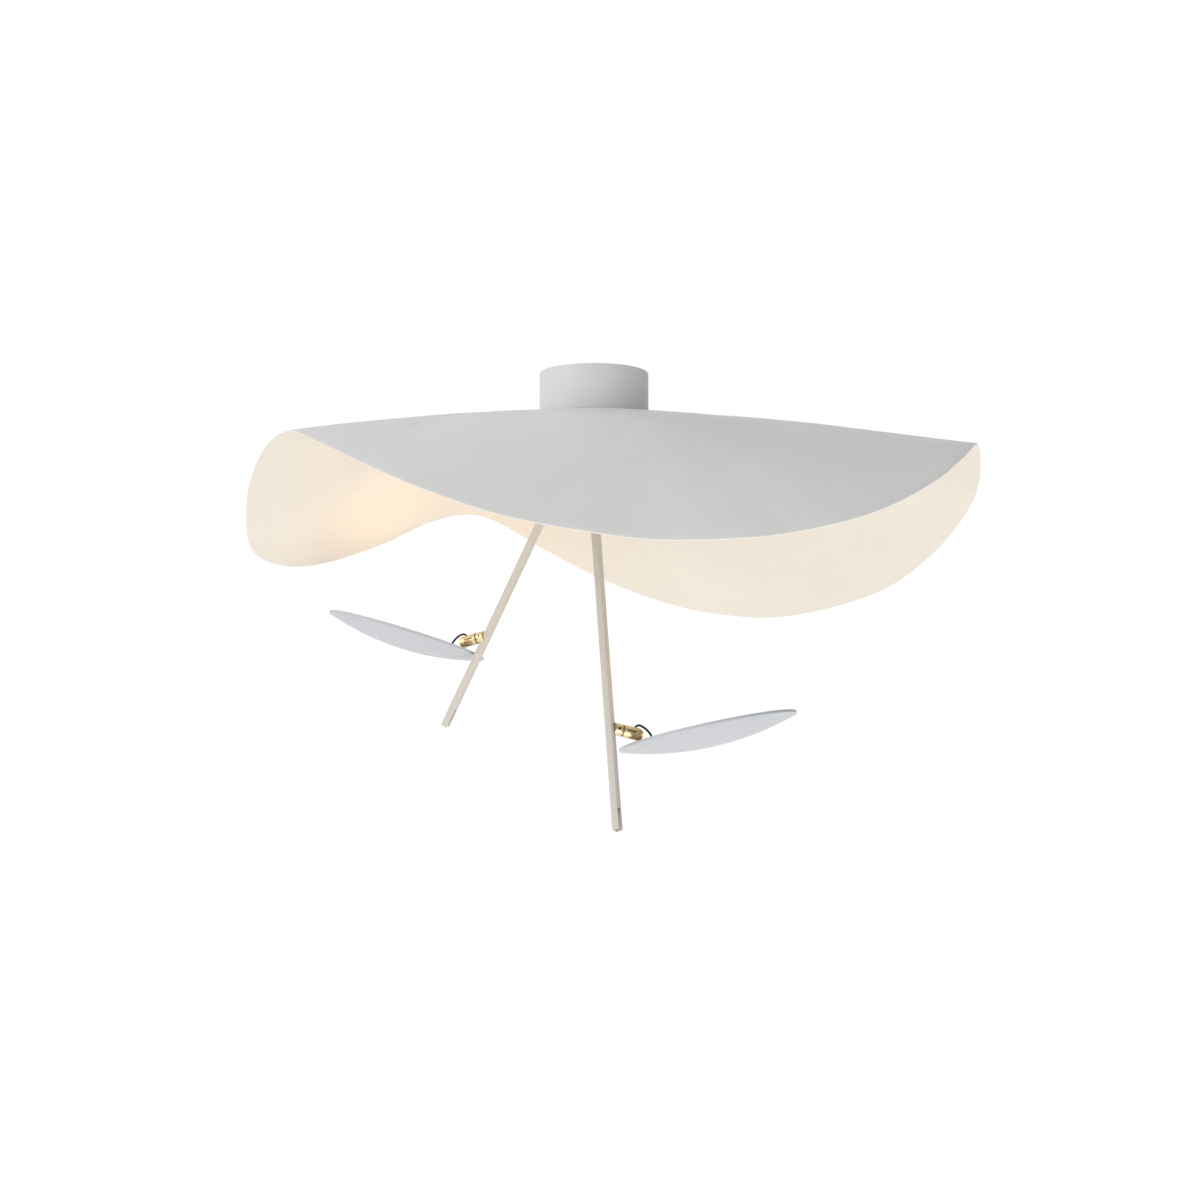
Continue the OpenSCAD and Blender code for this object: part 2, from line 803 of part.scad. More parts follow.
// Dished shell with a short upright lip, bosses for the cover screws and rests for the heat sink
module shell(arm) {
    wall_angle = asin((disc_radius - shell_wall) / (bowl_radius - shell_wall));
    color(silver)
        multmatrix(disc_frame(arm))
            difference() {
                union() {
                    rotate_extrude($fn = 180)
                        polygon(concat(
                            bowl_outline,
                            [[disc_radius - shell_wall, cover_top]],
                            arc(
                                [0, bowl_centre],
                                bowl_radius - shell_wall, wall_angle - 90, -90, 14
                            )
                        ));
                    intersection() {
                        rotate_extrude($fn = 180)
                            polygon(concat(bowl_outline, [[0, cover_top]]));
                        union() {
                            for (turn = [45:90:315])
                                rotate(turn)
                                    translate([cover_screw_radius, 0, -disc_depth])
                                        cylinder(r = 3.2, h = disc_depth + cover_bottom);
                            for (turn = [15:120:255])
                                rotate(turn)
                                    translate([46, 0, -disc_depth])
                                        cylinder(r = 4, h = disc_depth + sink_top - sink_plate);
                        }
                    }
                }
                for (turn = [45:90:315])
                    rotate(turn)
                        translate([cover_screw_radius, 0, cover_bottom - 4])
                            cylinder(r = 1.25 + fixed_gap, h = 5, $fn = 32);
            }
}

// Flat ring that closes the shell round the lens
module cover(arm) {
    color(silver)
        multmatrix(disc_frame(arm))
            difference() {
                translate([0, 0, cover_bottom])
                    cylinder(r = disc_radius - shell_wall - 0.1, h = cover_thickness, $fn = 180);
                translate([0, 0, cover_bottom - 1])
                    cylinder(r = lens_radius, h = cover_thickness + 2, $fn = 180);
                for (turn = [45:90:315])
                    rotate(turn)
                        translate([cover_screw_radius, 0, cover_bottom - 1])
                            cylinder(r = 1.5, h = 4, $fn = 32);
                for (side = [-1, 1])
                    translate([-disc_reach + side * foot_screw_x, 0, cover_bottom - 1])
                        cylinder(r = 1.05 + fixed_gap, h = 4, $fn = 32);
                translate([bush_x, 0, cover_bottom - 1])
                    cylinder(r = 2.5 + fixed_gap, h = 4, $fn = 32);
            }
}

module cover_screws(arm) {
    color(steel)
        multmatrix(disc_frame(arm))
            for (turn = [45:90:315])
                rotate(turn)
                    translate([cover_screw_radius, 0, cover_top])
                        pan_screw(1.25, 4.6, 2.4, 1.1);
}

// Thin trim ring on the disc's rim
module trim(arm) {
    color(silver)
        multmatrix(disc_frame(arm))
            rotate_extrude($fn = 180)
                translate([disc_radius - 3, cover_top])
                    square([3, trim_height]);
}

// Heat sink: plate with an upright wall under the lens and radial fins below
module heat_sink(arm) {
    wall_inner = lens_radius - 4;
    color(steel)
        multmatrix(disc_frame(arm)) {
            translate([0, 0, sink_top - sink_plate])
                cylinder(r = lens_radius + 4, h = sink_plate);
            ring(lens_radius + 4, wall_inner, sink_top - 0.1, cover_bottom - 1.2 - sink_top + 0.1);
            for (turn = [0:30:330])
                rotate(turn)
                    translate([14, -0.8, sink_top - sink_plate - 4])
                        cube([44, 1.6, 4.2]);
        }
}

module led_board(arm) {
    color(paint_white)
        multmatrix(disc_frame(arm))
            translate([0, 0, sink_top])
                cylinder(r = lens_radius - 5, h = 1.2);
}

// LED chips in three rings
module led_chips(arm) {
    color(opal)
        multmatrix(disc_frame(arm))
            for (circle = [1:3])
                for (k = [0:6 * circle - 1])
                    rotate(k * 60 / circle)
                        translate([18 * circle - 1.4, -1.4, sink_top + 1.2])
                            cube([2.8, 2.8, 0.6]);
}

// Opal lens, held down by the cover on its thin flange
module lens(arm) {
    crown = 0.8;
    color(opal)
        multmatrix(disc_frame(arm))
            rotate_extrude($fn = 180)
                polygon(concat(
                    [
                        [0, cover_bottom - 0.4],
                        [lens_radius - 3, cover_bottom - 0.4],
                        [lens_radius - 3, cover_bottom - 1.2],
                        [lens_radius + 4, cover_bottom - 1.2],
                        [lens_radius + 4, cover_bottom],
                        [lens_radius - 0.3, cover_bottom],
                        [lens_radius - 0.3, cover_top]
                    ],
                    [
                        for (i = [1:6])
                            let (q = 1 - i / 6)
                            [(lens_radius - 0.3) * q, cover_top + crown * (1 - q * q)]
                    ]
                ));
}

// Foot: a flange on the cover, and a tongue with a round eye on the pin
module foot(arm) {
    neck = 8;
    color(brass)
        multmatrix(pivot_frame(arm))
            difference() {
                union() {
                    y_rod(eye_radius, tongue_thickness);
                    translate([-neck / 2, -tongue_thickness / 2, -foot_base])
                        cube([neck, tongue_thickness, foot_base]);
                    translate([-foot_length / 2, -foot_width / 2, -foot_base])
                        cube([foot_length, foot_width, foot_plate]);
                }
                y_rod(pin_diameter / 2 + fixed_gap, tongue_thickness + 2);
                for (side = [-1, 1])
                    translate([side * foot_screw_x, 0, -foot_base - 1])
                        cylinder(r = 1.05 + fixed_gap, h = foot_plate + 1.05, $fn = 32);
            }
}

module foot_screws(arm) {
    color(steel)
        multmatrix(pivot_frame(arm))
            for (side = [-1, 1])
                translate([side * foot_screw_x, 0, -foot_base - cover_thickness])
                    rotate([180, 0, 0])
                        pan_screw(1, 2.9, 1.9, 1);
}

bush_height = 2;

// Black bush through which the jumper enters the disc
module cable_bush(arm) {
    color(black)
        multmatrix(disc_frame(arm))
            translate([bush_x, 0, 0]) {
                translate([0, 0, cover_bottom])
                    cylinder(r = 2.5, h = cover_thickness + 0.1, $fn = 32);
                translate([0, 0, cover_top])
                    cylinder(r1 = 3.6, r2 = 2.6, h = bush_height, $fn = 32);
            }
}

// Short black jumper from the barrel to the disc, drawn as it hangs at rest. Both ends leave their
// bushes straight for a short way.
jumper_radius = 1.4;
jumper_rings = 24;
jumper_straight = 0.8;
jumper_reach = 8;

function place(m, p) = [for (i = [0:2]) m[i][0] * p[0] + m[i][1] * p[1] + m[i][2] * p[2] + m[i][3]];

function bezier(a, b, c, d, t) =
    (1 - t) * (1 - t) * (1 - t) * a + 3 * t * (1 - t) * (1 - t) * b
    + 3 * t * t * (1 - t) * c + t * t * t * d;

function jumper_route(arm) =
    let (
        out = [cos(exit_rise), 0, sin(exit_rise)],
        mouth = [exit_x, 0, 2] + exit_out * out,
        start = place(stem_frame(arm), mouth + fixed_gap * out),
        leave = place(stem_frame(arm), mouth + jumper_straight * out),
        lead = place(stem_frame(arm), mouth + jumper_reach * out),
        foot = [bush_x, 0, cover_top + bush_height],
        end = place(disc_frame(arm), foot + [0, 0, fixed_gap]),
        arrive = place(disc_frame(arm), foot + [0, 0, jumper_straight]),
        fall = place(disc_frame(arm), foot + [0, 0, jumper_reach])
    )
    concat(
        [start],
        [for (i = [0:jumper_rings]) bezier(leave, lead, fall, arrive, i / jumper_rings)],
        [end]
    );

module jumper(arm) {
    color(black)
        tube(jumper_route(arm), jumper_radius, pin_axis(arm));
}

// Nodes

ceiling_plate();
plate_grommet();
terminal_block();
led_driver();
driver_screws();
centre_tube();
tube_nuts();
canopy_cup();
reflector();
clamp_plate();
rod_holder();
holder_screws();
rod(RIGHT);  // rod_right
rod_plug(RIGHT);  // rod_plug_right
collar(RIGHT);  // collar_right
collar_screw(RIGHT);  // collar_screw_right
washer(RIGHT);  // washer_right
stud(RIGHT);  // stud_right
barrel(RIGHT);  // barrel_right
pinch_screw(RIGHT);  // pinch_screw_right
exit_bush(RIGHT);  // exit_bush_right
pin(RIGHT);  // pin_right
foot(RIGHT);  // foot_right
foot_screws(RIGHT);  // foot_screws_right
shell(RIGHT);  // shell_right
cover(RIGHT);  // cover_right
trim(RIGHT);  // trim_right
heat_sink(RIGHT);  // heat_sink_right
led_board(RIGHT);  // led_board_right
led_chips(RIGHT);  // led_chips_right
lens(RIGHT);  // lens_right
cover_screws(RIGHT);  // cover_screws_right
cable_bush(RIGHT);  // cable_bush_right
jumper(RIGHT);  // jumper_right
rod(LEFT);  // rod_left
rod_plug(LEFT);  // rod_plug_left
collar(LEFT);  // collar_left
collar_screw(LEFT);  // collar_screw_left
washer(LEFT);  // washer_left
stud(LEFT);  // stud_left
barrel(LEFT);  // barrel_left
pinch_screw(LEFT);  // pinch_screw_left
exit_bush(LEFT);  // exit_bush_left
pin(LEFT);  // pin_left
foot(LEFT);  // foot_left
foot_screws(LEFT);  // foot_screws_left
shell(LEFT);  // shell_left
cover(LEFT);  // cover_left
trim(LEFT);  // trim_left
heat_sink(LEFT);  // heat_sink_left
led_board(LEFT);  // led_board_left
led_chips(LEFT);  // led_chips_left
lens(LEFT);  // lens_left
cover_screws(LEFT);  // cover_screws_left
cable_bush(LEFT);  // cable_bush_left
jumper(LEFT);  // jumper_left
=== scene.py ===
"""Looks of the sculptural ceiling light: materials, finer pieces, room and camera. Metres."""

import json
import math

import bmesh
import bpy
import numpy as np
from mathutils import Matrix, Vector


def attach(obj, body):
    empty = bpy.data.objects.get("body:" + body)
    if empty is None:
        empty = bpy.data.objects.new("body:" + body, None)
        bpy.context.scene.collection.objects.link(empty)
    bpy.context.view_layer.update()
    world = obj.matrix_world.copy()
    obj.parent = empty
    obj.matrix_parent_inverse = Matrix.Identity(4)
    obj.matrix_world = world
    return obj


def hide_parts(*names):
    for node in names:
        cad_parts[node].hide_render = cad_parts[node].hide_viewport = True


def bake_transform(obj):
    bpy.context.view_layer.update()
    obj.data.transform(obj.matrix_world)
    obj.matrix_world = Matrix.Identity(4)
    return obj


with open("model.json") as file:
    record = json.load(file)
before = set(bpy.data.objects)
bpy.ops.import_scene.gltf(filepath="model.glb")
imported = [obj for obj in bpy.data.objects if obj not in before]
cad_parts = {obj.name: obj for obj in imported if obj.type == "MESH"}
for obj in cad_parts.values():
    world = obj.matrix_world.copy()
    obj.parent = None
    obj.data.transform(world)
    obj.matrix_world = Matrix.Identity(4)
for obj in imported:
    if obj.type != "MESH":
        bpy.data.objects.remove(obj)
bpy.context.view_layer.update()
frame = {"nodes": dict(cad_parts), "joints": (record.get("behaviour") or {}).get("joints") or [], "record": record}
nodes = frame["nodes"]
bodies = frame["record"]["behaviour"]["bodies"]
body_of = {node: body for body, members in bodies.items() for node in members}
joints = {j["name"]: j for j in frame["joints"]}
scene = bpy.context.scene
MM = 0.001

# Camera
CAMERA_PLACE = (0.008, -2.8, -0.56)
CAMERA_PITCH = 5.25
CAMERA_LENS = 63.93
SENSOR_WIDTH = 36
FARTHEST_SEEN = 200

# Rounded edges: node and width in millimetres, once for the frame and once for each arm
JOINED_WITHIN = 0.002
FLAT_ANGLE = 0.4
EDGE_ANGLE = 38
BEVEL_STEPS = 2
SOFT_FRAME = {"rod_holder": 0.5, "clamp_plate": 0.4, "tube_nuts": 0.3}
SOFT_SIDES = {
    "rod": 0.6, "collar": 0.2, "washer": 0.12, "barrel": 0.2, "pin": 0.3, "foot": 0.2, "trim": 0.2,
}

# Room and light
FLOOR_Z = -2.5
FLOOR_RADIUS = 40
FLOOR_GLOW = 0.38
DOME_MIDDLE = 0.74
DOME_SLOPE = 0.55
DOME_LEAST = 0.3
BACKDROP = 1.02
BACKDROP_FROM = 0.72
BACKDROP_FULL = 0.88
WHITE = (1, 1, 1, 1)
LED_COLOUR = (1.0, 0.68, 0.4, 1)
LED_STRENGTH = 4.0
LIT_FACE = 0.5

# Studio lights: name, place, aimed at, size, power in watts, colour
LIGHTS = [
    ("key_left", (-3.2, -1.6, 0.2), (0, 0, -0.3), (2.4, 2.4), 20, (1, 1, 1)),
    ("fill_right", (1.8, -2.0, -2.1), (0, 0, -0.2), (1.4, 1.0), 15, (0.72, 0.93, 1)),
    ("fill_middle", (0.2, -1.3, -2.0), (0.1, 0, -0.25), (1.0, 1.0), 8.5, (1, 0.8, 0.6)),
]

# Painted shade in shut-in places, with its reach in metres, and bright worn edges
PAINTED_SHADE_MOST = 0.9
PAINTED_SHADE_REACH = 0.003
PAINTED_SHADE_STARTS = 0.55
PAINTED_SHADE_FULL = 0.15
PAINTED_SHADE_TONE = 0.08
EDGE_STARTS = 0.52
EDGE_FULL = 0.6

# Reflector, as in the part
REFLECTOR_LENGTH = 1010
REFLECTOR_WIDTH = 562
REFLECTOR_DEPTH = 240
SHEET = 2
SEAT_Z = -60
SEAT_RADIUS = 75
SEAT_HOLE = 5.5
CREST_SHARE = 0.32
STATIONS = [
    [0, 512, 36, 60, 0.5], [10, 531, 90, 50, 0.45], [20, 516, 152, 32, 0], [30, 477, 206, 18, 0],
    [45, 394, 240, 8, 0], [60, 335, 234, 3, 0], [75, 302, 211, 0, 0], [90, 293, 179, 0, 0],
    [105, 303, 138, 0, 0], [120, 332, 92, 4, 0], [130, 366, 100, 8, 0], [140, 418, 140, 16, 0],
    [150, 485, 171, 28, 0], [158, 520, 157, 44, 0], [165, 500, 93, 72, 0.5],
    [172, 458, 37, 96, 0.8], [180, 411, 17, 108, 1], [190, 369, 40, 92, 0.7],
    [205, 326, 80, 48, 0], [225, 290, 126, 12, 0], [245, 266, 161, 2, 0], [270, 261, 185, 0, 0],
    [290, 285, 195, 0, 0], [310, 347, 188, 4, 0], [325, 409, 159, 12, 0], [340, 456, 107, 32, 0],
    [350, 484, 66, 50, 0.45],
]
PART_BEARINGS = 132
BUNCHING = 12
SHEET_BEARINGS = 264
FLAT_ROWS = [0, 0.35, 0.7]
FLANK_ROWS = [
    0.0, 0.04, 0.08, 0.12, 0.16, 0.2, 0.24, 0.28, 0.32, 0.38, 0.44, 0.5, 0.56, 0.62,
    0.68, 0.74, 0.8, 0.86, 0.92, 0.96,
]
RIM_STEPS = 6

# Discs, as in the part
DISC_REACH = 98.5
PIN_HEIGHT = 9.6
TRIM_HEIGHT = 0.7
BUSH_X = -79.5
EXIT_X = 28.86
EXIT_RISE = 50
EXIT_OUT = 9
BUSH_HEIGHT = 2
JUMPER_RADIUS = 1.4
JUMPER_STRAIGHT = 0.8
JUMPER_REACH = 8
JUMPER_STEPS = 48
JUMPER_SIDES = 20
FIXED_GAP = 0.05


def heading(bearing, rise):
    """Direction at a plan bearing, raised above the horizontal, in degrees."""
    b, r = math.radians(bearing), math.radians(rise)
    return Vector((math.cos(b) * math.cos(r), math.sin(b) * math.cos(r), math.sin(r)))


class Arm:
    """One arm's places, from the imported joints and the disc's lean."""

    def __init__(self, side, disc_bearing, disc_lean):
        swivel = joints[side + "_swivel"]
        tilt = joints[side + "_tilt"]
        self.side = side
        self.joint = Vector(swivel["pos_m"])
        self.stem = Vector(swivel["axis"]).normalized()
        self.pivot = Vector(tilt["pos_m"])
        self.pin = Vector(tilt["axis"]).normalized()
        self.up = heading(disc_bearing, 90 - disc_lean)
        self.out = self.pin.cross(self.up).normalized()
        self.middle = self.pivot + DISC_REACH * MM * self.out - PIN_HEIGHT * MM * self.up

    def on_stem(self, x, y, z):
        level = self.stem.cross(self.pin)
        return self.joint + MM * (x * self.stem + y * self.pin + z * level)

    def on_disc(self, x, y, z):
        return self.middle + MM * (x * self.out + y * self.pin + z * self.up)


ARMS = [Arm("right", 163.5, 12.6), Arm("left", 5, 16.9)]


# Camera


def make_camera():
    data = bpy.data.cameras.new("photo_camera")
    data.lens = CAMERA_LENS
    data.sensor_width = SENSOR_WIDTH
    data.clip_end = FARTHEST_SEEN
    camera = bpy.data.objects.new("photo_camera", data)
    camera.location = CAMERA_PLACE
    camera.rotation_euler = (math.radians(90 + CAMERA_PITCH), 0, 0)
    scene.collection.objects.link(camera)
    scene.camera = camera


# Material helpers


class Shade:
    """A principled material with a few helpers for its procedural nodes."""

    def __init__(self, name, colour, roughness, metallic=0.0, specular=0.5):
        self.material = bpy.data.materials.new(name)
        self.material.use_nodes = True
        self.tree = self.material.node_tree
        self.shader = self.tree.nodes["Principled BSDF"]
        self.shader.inputs["Base Color"].default_value = (*colour, 1)
        self.shader.inputs["Roughness"].default_value = roughness
        self.shader.inputs["Metallic"].default_value = metallic
        self.shader.inputs["Specular IOR Level"].default_value = specular
        self.colour = colour
        self.height = None
        place = self.tree.nodes.new("ShaderNodeTexCoord")
        self.place = place.outputs["Object"]

    def stretched(self, scale):
        mapping = self.tree.nodes.new("ShaderNodeMapping")
        mapping.inputs["Scale"].default_value = scale
        self.tree.links.new(self.place, mapping.inputs["Vector"])
        return mapping.outputs["Vector"]

    def noise(self, scale, detail=3, rough=0.5, vector=None):
        texture = self.tree.nodes.new("ShaderNodeTexNoise")
        texture.inputs["Scale"].default_value = scale
        texture.inputs["Detail"].default_value = detail
        texture.inputs["Roughness"].default_value = rough
        self.tree.links.new(vector or self.place, texture.inputs["Vector"])
        return texture.outputs["Fac"]

    def cells(self, scale, vector=None):
        texture = self.tree.nodes.new("ShaderNodeTexVoronoi")
        texture.inputs["Scale"].default_value = scale
        self.tree.links.new(vector or self.place, texture.inputs["Vector"])
        return texture.outputs["Distance"]

    def ramp(self, value, low, high, low_at=0.35, high_at=0.65):
        ramp = self.tree.nodes.new("ShaderNodeValToRGB")
        ramp.color_ramp.elements[0].position = low_at
        ramp.color_ramp.elements[0].color = (*low, 1)
        ramp.color_ramp.elements[1].position = high_at
        ramp.color_ramp.elements[1].color = (*high, 1)
        self.tree.links.new(value, ramp.inputs["Fac"])
        return ramp.outputs["Color"]

    def spread(self, value, low, high):
        rescale = self.tree.nodes.new("ShaderNodeMapRange")
        rescale.inputs["From Min"].default_value = 0.3
        rescale.inputs["From Max"].default_value = 0.7
        rescale.inputs["To Min"].default_value = low
        rescale.inputs["To Max"].default_value = high
        self.tree.links.new(value, rescale.inputs["Value"])
        return rescale.outputs["Result"]

    def vary_colour(self, value, darker, lighter, low_at=0.35, high_at=0.65):
        low = tuple(c * darker for c in self.colour)
        high = tuple(min(1, c * lighter) for c in self.colour)
        out = self.ramp(value, low, high, low_at, high_at)
        self.tree.links.new(out, self.shader.inputs["Base Color"])
        return out

    def mix_colour(self, amount, base, colour):
        mix = self.tree.nodes.new("ShaderNodeMix")
        mix.data_type = "RGBA"
        self.tree.links.new(amount, mix.inputs["Factor"])
        self.tree.links.new(base, mix.inputs["A"])
        mix.inputs["B"].default_value = (*colour, 1)
        self.tree.links.new(mix.outputs["Result"], self.shader.inputs["Base Color"])
        return mix.outputs["Result"]

    def vary_roughness(self, value, low, high):
        self.tree.links.new(self.spread(value, low, high), self.shader.inputs["Roughness"])

    def bump(self, value, strength, distance):
        node = self.tree.nodes.new("ShaderNodeBump")
        node.inputs["Strength"].default_value = strength
        node.inputs["Distance"].default_value = distance
        self.tree.links.new(value, node.inputs["Height"])
        if self.height:
            self.tree.links.new(self.height, node.inputs["Normal"])
        self.height = node.outputs["Normal"]
        self.tree.links.new(self.height, self.shader.inputs["Normal"])

    def painted_recess_shade(self, base, colour):
        """Painted shade: the colour darkens where the surface is shut in, such as in a saw slit."""
        shut_in = self.tree.nodes.new("ShaderNodeAmbientOcclusion")
        shut_in.samples = 8
        shut_in.inputs["Distance"].default_value = PAINTED_SHADE_REACH
        where = self.tree.nodes.new("ShaderNodeMapRange")
        where.inputs["From Min"].default_value = PAINTED_SHADE_STARTS
        where.inputs["From Max"].default_value = PAINTED_SHADE_FULL
        where.inputs["To Max"].default_value = PAINTED_SHADE_MOST
        self.tree.links.new(shut_in.outputs["AO"], where.inputs["Value"])
        return self.mix_colour(where.outputs["Result"], base, colour)

    def worn_edges(self, base, colour):
        edge = self.tree.nodes.new("ShaderNodeNewGeometry").outputs["Pointiness"]
        where = self.tree.nodes.new("ShaderNodeMapRange")
        where.inputs["From Min"].default_value = EDGE_STARTS
        where.inputs["From Max"].default_value = EDGE_FULL
        self.tree.links.new(edge, where.inputs["Value"])
        return self.mix_colour(where.outputs["Result"], base, colour)


def lacquer(name, colour, roughness, peel=0.0001, grain=600):
    """Sprayed lacquer: a faint orange peel, drifting gloss and a slight mottling of the colour."""
    shade = Shade(name, colour, roughness)
    shade.vary_colour(shade.noise(5, 4, 0.6), 0.97, 1.02)
    shade.vary_roughness(shade.noise(28, 3), roughness - 0.05, roughness + 0.07)
    shade.bump(shade.noise(grain, 2), 0.12, peel)
    return shade


def powder(name, colour, roughness):
    """Powder coat: a fine pebbled skin over slow colour drift."""
    shade = Shade(name, colour, roughness)
    shade.vary_colour(shade.noise(9, 4, 0.6), 0.975, 1.02)
    shade.vary_roughness(shade.noise(60, 3), roughness - 0.06, roughness + 0.08)
    shade.bump(shade.cells(1400), 0.05, 0.00005)
    shade.bump(shade.noise(420, 2), 0.04, 0.0001)
    return shade


def metal(name, colour, roughness, tarnish, line_scale):
    """Turned or brushed metal: fine lines one way, tarnish in patches and bright worn edges."""
    shade = Shade(name, colour, roughness, metallic=1.0)
    lines = shade.noise(1, 4, 0.7, shade.stretched(line_scale))
    patches = shade.noise(240, 4, 0.6)
    base = shade.vary_colour(patches, 0.86, 1.04)
    base = shade.mix_colour(shade.spread(shade.noise(90, 5, 0.65), 0, 0.35), base, tarnish)
    base = shade.worn_edges(base, tuple(min(1, c * 1.12) for c in colour))
    # Painted shade: the colour darkens towards a deep tone where the surface is shut in
    shade.painted_recess_shade(base, tuple(PAINTED_SHADE_TONE * c for c in tarnish))
    shade.vary_roughness(lines, roughness - 0.07, roughness + 0.1)
    shade.bump(lines, 0.15, 0.0002)
    return shade


def moulded(name, colour, roughness, grain=1800, depth=0.0002):
    """Moulded plastic or rubber with a fine grained skin."""
    shade = Shade(name, colour, roughness)
    shade.vary_colour(shade.noise(70, 4, 0.6), 0.9, 1.08)
    shade.vary_roughness(shade.noise(160, 3), roughness - 0.08, roughness + 0.08)
    shade.bump(shade.cells(grain), 0.25, depth)
    return shade


def make_materials():
    made = {
        "painted_grey": lacquer("painted_grey", (0.715, 0.71, 0.7), 0.46),
        # Inner side: a warm-tinted copy of the sheet's lacquer, painted light standing in for the lamps' warm glow
        "inner_painted_lamp_glow": lacquer("inner_painted_lamp_glow", (0.68, 0.638, 0.572), 0.5),
        "canopy_grey": powder("canopy_grey", (0.62, 0.618, 0.61), 0.48),
        "rod_white": powder("rod_white", (0.54, 0.51, 0.455), 0.5),
        "brass": metal("brass", (0.8, 0.64, 0.38), 0.3, (0.5, 0.36, 0.18), (900, 900, 60)),
        "steel": metal("steel", (0.62, 0.63, 0.65), 0.34, (0.42, 0.42, 0.43), (600, 600, 60)),
        "disc_silver": lacquer("disc_silver", (0.45, 0.465, 0.495), 0.42, 0.00004, 1500),
        "bare_aluminium": metal(
            "bare_aluminium", (0.72, 0.73, 0.75), 0.42, (0.5, 0.5, 0.52), (300, 300, 40)
        ),
        "black": moulded("black", (0.01, 0.01, 0.01), 0.5),
        "black_rubber": moulded("black_rubber", (0.006, 0.006, 0.006), 0.6, 1200),
        "white_plastic": moulded("white_plastic", (0.78, 0.78, 0.75), 0.45),
        "opal": moulded("opal", (0.85, 0.82, 0.74), 0.4, 2600, 0.0001),
        "opal_lit": moulded("opal_lit", (0.85, 0.82, 0.74), 0.4, 2600, 0.0001),
        "board_white": moulded("board_white", (0.8, 0.8, 0.77), 0.4),
        "chip_yellow": moulded("chip_yellow", (0.85, 0.6, 0.12), 0.4),
    }
    lit = made["opal_lit"].shader
    lit.inputs["Emission Color"].default_value = LED_COLOUR
    lit.inputs["Emission Strength"].default_value = LED_STRENGTH
    return {name: shade.material for name, shade in made.items()}


def dress(obj, material):
    obj.data.materials.clear()
    obj.data.materials.append(material)


# Mesh helpers


def new_piece(name, verts, faces, material):
    mesh = bpy.data.meshes.new(name)
    mesh.from_pydata([tuple(v) for v in verts], [], faces)
    mesh.validate()
    for polygon in mesh.polygons:
        polygon.use_smooth = True
    obj = bpy.data.objects.new(name, mesh)
    scene.collection.objects.link(obj)
    dress(obj, material)
    return obj


def grid_faces(rows, columns):
    """Four-sided faces between rings of points."""
    faces = []
    for j in range(rows - 1):
        for i in range(columns):
            a = j * columns + i
            b = j * columns + (i + 1) % columns
            faces.append((a, b, b + columns, a + columns))
    return faces


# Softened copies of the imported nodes


def soften(node, width, material):
    """Copy of a node whose sharp edges are rounded, as a tumbled or painted edge is."""
    edit = bmesh.new()
    edit.from_mesh(nodes[node].data)
    bmesh.ops.remove_doubles(edit, verts=edit.verts, dist=JOINED_WITHIN * MM)
    bmesh.ops.dissolve_limit(
        edit, angle_limit=math.radians(FLAT_ANGLE), verts=edit.verts, edges=edit.edges
    )
    limit = math.radians(EDGE_ANGLE)
    sharp = [e for e in edit.edges if e.is_manifold and e.calc_face_angle(0) > limit]
    bmesh.ops.bevel(
        edit,
        geom=sharp,
        offset=width * MM,
        segments=BEVEL_STEPS,
        profile=0.5,
        affect="EDGES",
        clamp_overlap=True,
    )
    mesh = bpy.data.meshes.new(node + "_soft")
    edit.to_mesh(mesh)
    edit.free()
    if "custom_normal" in mesh.attributes:
        mesh.attributes.remove(mesh.attributes["custom_normal"])
    mesh.polygons.foreach_set("use_smooth", [True] * len(mesh.polygons))
    mesh.set_sharp_from_angle(angle=limit)
    piece = bpy.data.objects.new(node + "_soft", mesh)
    scene.collection.objects.link(piece)
    dress(piece, material)
    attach(piece, body_of[node])
    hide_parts(node)


# Lenses


def make_lens(arm, materials):
    """Copy of a lens that shines from its open face only."""
    node = "lens_" + arm.side
    mesh = nodes[node].data.copy()
    mesh.name = node + "_lit"
    piece = bpy.data.objects.new(node + "_lit", mesh)
    scene.collection.objects.link(piece)
    dress(piece, materials["opal"])
    mesh.materials.append(materials["opal_lit"])
    for polygon in mesh.polygons:
        polygon.material_index = 1 if polygon.normal.dot(arm.up) > LIT_FACE else 0
    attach(piece, body_of[node])
    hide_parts(node)


# Reflector


def station(i):
    count = len(STATIONS)
    row = list(STATIONS[i % count])
    row[0] += 360 * (i // count)
    return np.array(row, float)


def outline_at(bearing):
    """Smooth curve through the stations at one bearing."""
    bearing = bearing % 360
    i = 0
    while station(i + 1)[0] <= bearing:
        i += 1
    a, b = station(i), station(i + 1)
    slope_a = (station(i + 1) - station(i - 1)) / (station(i + 1)[0] - station(i - 1)[0])
    slope_b = (station(i + 2) - station(i)) / (station(i + 2)[0] - station(i)[0])
    span = b[0] - a[0]
    t = (bearing - a[0]) / span
    return (
        (1 + 2 * t) * (1 - t) ** 2 * a
        + t * (1 - t) ** 2 * span * slope_a
        + t * t * (3 - 2 * t) * b
        + t * t * (t - 1) * span * slope_b
    )


def bunched(steps):
    """Bearings bunched at the two ends of the sheet, as in the part."""
    plain = [360 * i / steps for i in range(steps)]
    return [b - BUNCHING * math.sin(math.radians(2 * b)) for b in plain]


def rim_stretch():
    x, y = [], []
    for b in bunched(PART_BEARINGS):
        reach = outline_at(b)[1]
        x.append(reach * math.cos(math.radians(b)))
        y.append(reach * math.sin(math.radians(b)))
    depth = max(row[2] for row in STATIONS)
    return (
        REFLECTOR_LENGTH / (max(x) - min(x)),
        REFLECTOR_WIDTH / (max(y) - min(y)),
        REFLECTOR_DEPTH / depth,
    )


def flank(t, w):
    rounded = t * t / (2 * w) if t < w else t - w / 2
    return rounded / (1 - w / 2)


